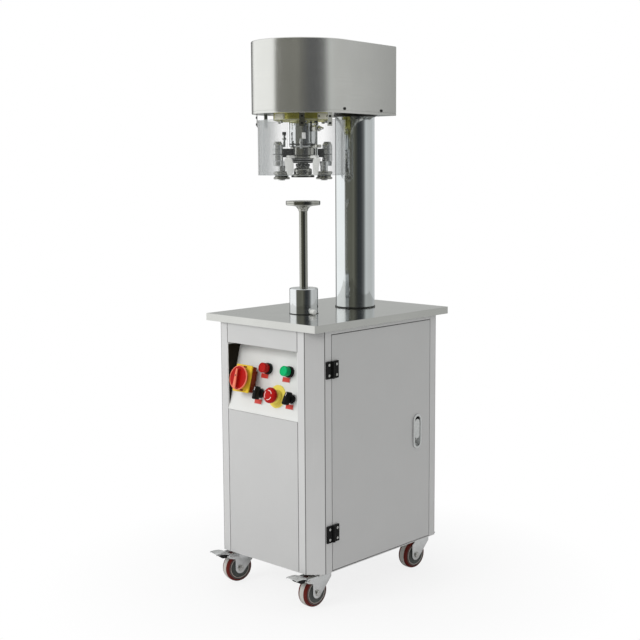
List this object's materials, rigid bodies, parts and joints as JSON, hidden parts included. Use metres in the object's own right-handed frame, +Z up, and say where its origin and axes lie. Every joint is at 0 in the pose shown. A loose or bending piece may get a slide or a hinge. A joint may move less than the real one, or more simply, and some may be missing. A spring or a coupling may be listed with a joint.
{
  "type": "cup seaming machine",
  "caption": "Floor-standing cup seaming machine: cabinet on swivel casters with a slanted control panel and side door, a lifting cup platform and a seaming head on a round column.",
  "frame": {"origin": "on the floor, under the middle of the overall box", "axes": "+Z up, -Y towards the operator who faces the control panel, +X towards the cabinet's door"},
  "size_m": [0.4, 0.5658, 1.4465],
  "materials": {
    "panel_steel": "fine matt brushed stainless sheet",
    "bright_steel": "polished stainless sheet",
    "chrome": "hard chrome",
    "steel": "machined steel",
    "zinc": "bright zinc plate",
    "yellow_zinc": "yellow zinc plate",
    "black_plastic": "matt black",
    "red_plastic": "satin red",
    "green_plastic": "satin green",
    "yellow_plastic": "satin yellow",
    "clear_sheet": "clear acrylic sheet",
    "wheel_rubber": "red polyurethane tread and core",
    "motor_paint": "dark blue-grey enamel",
    "belt_rubber": "black rubber"
  },
  "bodies": {
    "base": {"cabinet_frame": "panel_steel", "left_panel": "panel_steel", "back_panel": "panel_steel", "front_upper_panel": "panel_steel", "front_lower_panel": "panel_steel", "control_panel": "panel_steel", "tabletop": "bright_steel", "head_cover": "bright_steel", "column": "chrome", "spindle_housing": "chrome", "guide_collar": "chrome", "head_base": "steel", "roller_carrier": "steel", "bearing_flange": "yellow_zinc", "cable_gland": "black_plastic", "upper_frame_hinge": "black_plastic", "lower_frame_hinge": "black_plastic", "estop_ring": "yellow_plastic", "switch_base": "yellow_plastic", "guard": "clear_sheet", "motor": "motor_paint", "lift_actuator": "motor_paint", "drive_belt": "belt_rubber", "front_left_caster_plate": "zinc", "front_right_caster_plate": "zinc", "rear_left_caster_plate": "zinc", "rear_right_caster_plate": "zinc"},
    "door": {"door_panel": "panel_steel", "latch_case": "steel", "upper_door_hinge": "black_plastic", "lower_door_hinge": "black_plastic"},
    "latch": {"latch_handle": "steel"},
    "stop": {"stop_button": "red_plastic"},
    "start": {"start_button": "green_plastic"},
    "estop": {"estop_button": "red_plastic"},
    "left_selector": {"left_selector": "black_plastic"},
    "right_selector": {"right_selector": "black_plastic"},
    "main_switch": {"switch_handle": "red_plastic"},
    "lift": {"lift_rod": "steel"},
    "platform": {"cup_platform": "steel"},
    "clamp": {"clamp_screw": "chrome"},
    "spindle": {"spindle": "steel", "spindle_pulley": "steel", "seaming_chuck": "chrome"},
    "drive": {"drive_shaft": "steel", "drive_pulley": "steel"},
    "left_arm": {"left_roller_arm": "zinc"},
    "left_roller": {"left_seaming_roller": "chrome"},
    "right_arm": {"right_roller_arm": "zinc"},
    "right_roller": {"right_seaming_roller": "chrome"},
    "front_left_fork": {"front_left_fork": "zinc"},
    "front_left_wheel": {"front_left_wheel": "wheel_rubber"},
    "front_left_pedal": {"front_left_brake_pedal": "zinc"},
    "front_right_fork": {"front_right_fork": "zinc"},
    "front_right_wheel": {"front_right_wheel": "wheel_rubber"},
    "front_right_pedal": {"front_right_brake_pedal": "zinc"},
    "rear_left_fork": {"rear_left_fork": "zinc"},
    "rear_left_wheel": {"rear_left_wheel": "wheel_rubber"},
    "rear_right_fork": {"rear_right_fork": "zinc"},
    "rear_right_wheel": {"rear_right_wheel": "wheel_rubber"}
  },
  "joints": [
    {"name": "door_swing", "type": "hinge", "parent": "base", "child": "door", "pos_m": [0.1948, -0.1811, 0.4105], "axis": [0, 0, -1], "range_deg": [0, 110]},
    {"name": "latch_flip", "type": "hinge", "parent": "door", "child": "latch", "pos_m": [0.189, 0.1609, 0.4355], "axis": [0, -1, 0], "range_deg": [0, 50]},
    {"name": "stop_press", "type": "slide", "parent": "base", "child": "stop", "axis": [0, 0.9662, -0.2577], "range_m": [0, 0.004], "stiffness_N_per_m": 400},
    {"name": "start_press", "type": "slide", "parent": "base", "child": "start", "axis": [0, 0.9662, -0.2577], "range_m": [0, 0.004], "stiffness_N_per_m": 400},
    {"name": "estop_press", "type": "slide", "parent": "base", "child": "estop", "axis": [0, 0.9662, -0.2577], "range_m": [0, 0.005], "stiffness_N_per_m": 600},
    {"name": "left_selector_turn", "type": "hinge", "parent": "base", "child": "left_selector", "pos_m": [-0.013, -0.22792, 0.54164], "axis": [0, -0.9662, 0.2577], "range_deg": [-45, 45]},
    {"name": "right_selector_turn", "type": "hinge", "parent": "base", "child": "right_selector", "pos_m": [0.099, -0.22792, 0.54164], "axis": [0, -0.9662, 0.2577], "range_deg": [-45, 45]},
    {"name": "main_switch_turn", "type": "hinge", "parent": "base", "child": "main_switch", "pos_m": [-0.062, -0.2533, 0.57842], "axis": [0, 0.9662, -0.2577], "range_deg": [0, 90]},
    {"name": "platform_lift", "type": "slide", "parent": "base", "child": "lift", "axis": [0, 0, 1], "range_m": [-0.18, 0.045]},
    {"name": "platform_spin", "type": "hinge", "parent": "lift", "child": "platform", "pos_m": [0, -0.0836, 1.0255], "axis": [0, 0, 1], "continuous": true},
    {"name": "clamp_turn", "type": "hinge", "parent": "base", "child": "clamp", "pos_m": [0.03716, -0.09286, 0.748], "axis": [0.9703, -0.2419, 0], "range_deg": [-180, 180]},
    {"name": "spindle_spin", "type": "hinge", "parent": "base", "child": "spindle", "pos_m": [0, -0.0836, 1.1955], "axis": [0, 0, 1], "continuous": true},
    {"name": "drive_spin", "type": "hinge", "parent": "base", "child": "drive", "pos_m": [0, 0.1214, 0.9955], "axis": [0, 0, 1], "continuous": true},
    {"name": "right_arm_swing", "type": "hinge", "parent": "base", "child": "right_arm", "pos_m": [0.03087, -0.02301, 1.1635], "axis": [0, 0, -1], "range_deg": [0, 10], "stiffness_Nm_per_rad": 5},
    {"name": "right_roller_spin", "type": "hinge", "parent": "right_arm", "child": "right_roller", "pos_m": [0.04472, -0.04989, 1.1055], "axis": [0, 0, 1], "continuous": true},
    {"name": "left_arm_swing", "type": "hinge", "parent": "base", "child": "left_arm", "pos_m": [-0.03087, -0.14418, 1.1635], "axis": [0, 0, -1], "range_deg": [0, 10], "stiffness_Nm_per_rad": 5},
    {"name": "left_roller_spin", "type": "hinge", "parent": "left_arm", "child": "left_roller", "pos_m": [-0.04472, -0.1173, 1.1055], "axis": [0, 0, 1], "continuous": true},
    {"name": "front_left_swivel", "type": "hinge", "parent": "base", "child": "front_left_fork", "pos_m": [-0.141, -0.1756, 0.0855], "axis": [0, 0, 1], "continuous": true},
    {"name": "front_left_wheel_spin", "type": "hinge", "parent": "front_left_fork", "child": "front_left_wheel", "pos_m": [-0.1473, -0.20288, 0.0395], "axis": [0.9744, -0.225, 0], "continuous": true},
    {"name": "front_left_pedal_tilt", "type": "hinge", "parent": "front_left_fork", "child": "front_left_pedal", "pos_m": [-0.15382, -0.23112, 0.077], "axis": [0.9744, -0.225, 0], "range_deg": [0, 15]},
    {"name": "front_right_swivel", "type": "hinge", "parent": "base", "child": "front_right_fork", "pos_m": [0.141, -0.1756, 0.0855], "axis": [0, 0, 1], "continuous": true},
    {"name": "front_right_wheel_spin", "type": "hinge", "parent": "front_right_fork", "child": "front_right_wheel", "pos_m": [0.13953, -0.20356, 0.0395], "axis": [0.9986, -0.0523, 0], "continuous": true},
    {"name": "front_right_pedal_tilt", "type": "hinge", "parent": "front_right_fork", "child": "front_right_pedal", "pos_m": [0.13802, -0.2325, 0.077], "axis": [0.9986, -0.0523, 0], "range_deg": [0, 15]},
    {"name": "rear_left_swivel", "type": "hinge", "parent": "base", "child": "rear_left_fork", "pos_m": [-0.141, 0.2309, 0.0855], "axis": [0, 0, 1], "continuous": true},
    {"name": "rear_left_wheel_spin", "type": "hinge", "parent": "rear_left_fork", "child": "rear_left_wheel", "pos_m": [-0.14682, 0.20352, 0.0395], "axis": [0.9781, -0.2079, 0], "continuous": true},
    {"name": "rear_right_swivel", "type": "hinge", "parent": "base", "child": "rear_right_fork", "pos_m": [0.141, 0.2309, 0.0855], "axis": [0, 0, 1], "continuous": true},
    {"name": "rear_right_wheel_spin", "type": "hinge", "parent": "rear_right_fork", "child": "rear_right_wheel", "pos_m": [0.13856, 0.20301, 0.0395], "axis": [0.9962, -0.0872, 0], "continuous": true}
  ],
  "couplings": [
    {"joint": "drive_spin", "follows": "spindle_spin", "ratio": 1.5}
  ]
}
